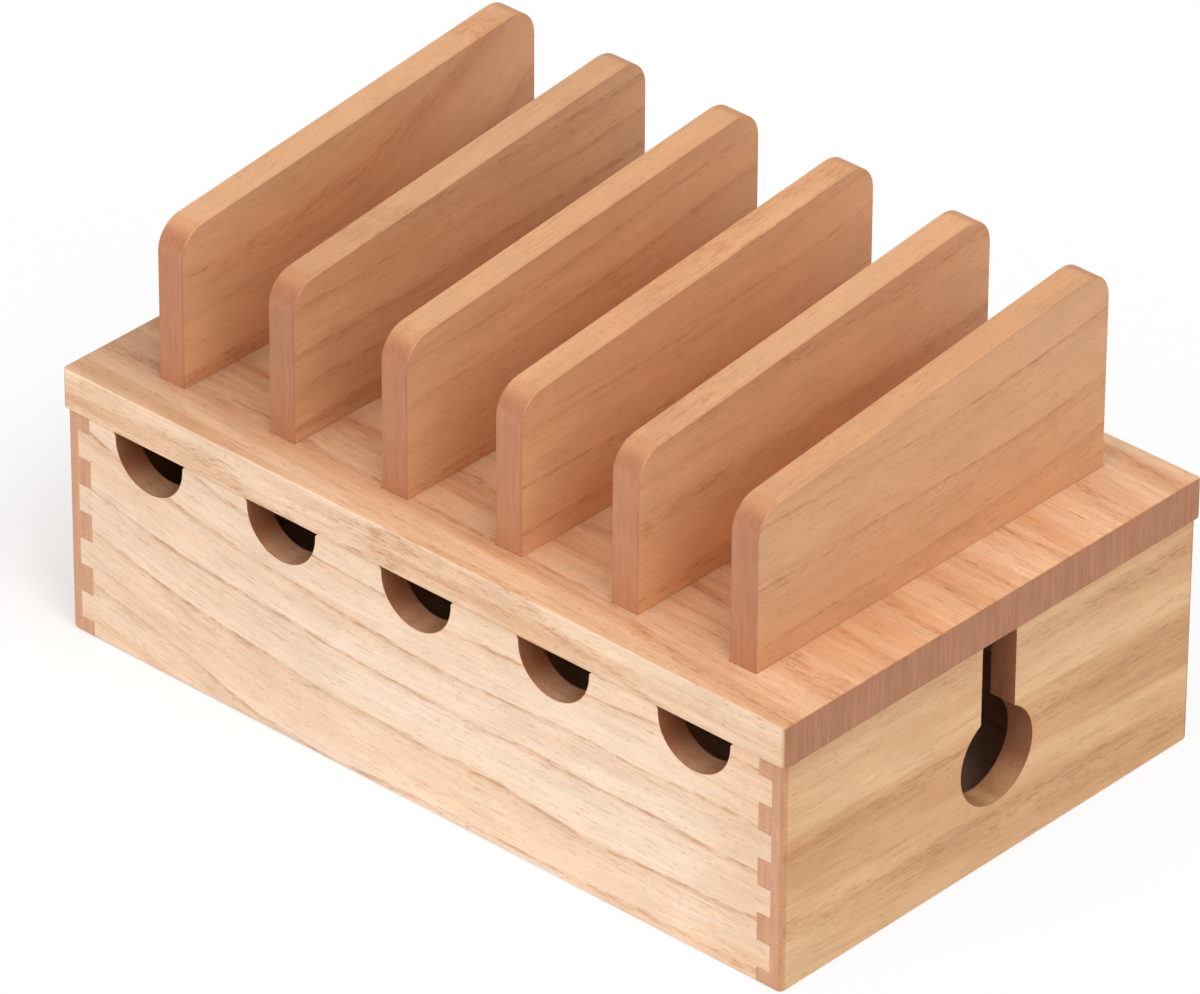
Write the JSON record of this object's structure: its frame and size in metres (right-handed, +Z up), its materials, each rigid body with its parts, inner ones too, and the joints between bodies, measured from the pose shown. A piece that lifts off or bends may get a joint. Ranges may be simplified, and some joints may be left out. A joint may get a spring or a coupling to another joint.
{
  "type": "charging station organizer",
  "caption": "Wooden box for chargers with cord notches and a keyhole; its lift-off lid carries a row of upright dividers that hold phones and tablets apart.",
  "frame": {"origin": "on the table, under the middle of the lid", "axes": "+Z up, +X along the length to the right seen from the front, +Y from front to back"},
  "size_m": [0.28, 0.1784, 0.1554],
  "materials": {
    "front_wood": "satin",
    "side_wood": "satin",
    "lid_wood": "satin",
    "divider_wood": "satin",
    "bottom_wood": "matte",
    "screw_steel": "satin"
  },
  "bodies": {
    "root": {"front_panel": "front_wood", "back_panel": "front_wood", "left_side_panel": "side_wood", "right_side_panel": "side_wood", "bottom_panel": "bottom_wood"},
    "lid": {"lid_board": "lid_wood", "divider_1": "divider_wood", "divider_2": "divider_wood", "divider_3": "divider_wood", "divider_4": "divider_wood", "divider_5": "divider_wood", "divider_6": "divider_wood", "lid_block_screws": "screw_steel", "lid_block_front_left": "bottom_wood", "lid_block_front_right": "bottom_wood", "lid_block_back_left": "bottom_wood", "lid_block_back_right": "bottom_wood"}
  },
  "joints": [
    {"name": "lid_lift", "type": "slide", "parent": "root", "child": "lid", "axis": [0, 0, 1], "range_m": [0, 0.12]}
  ]
}
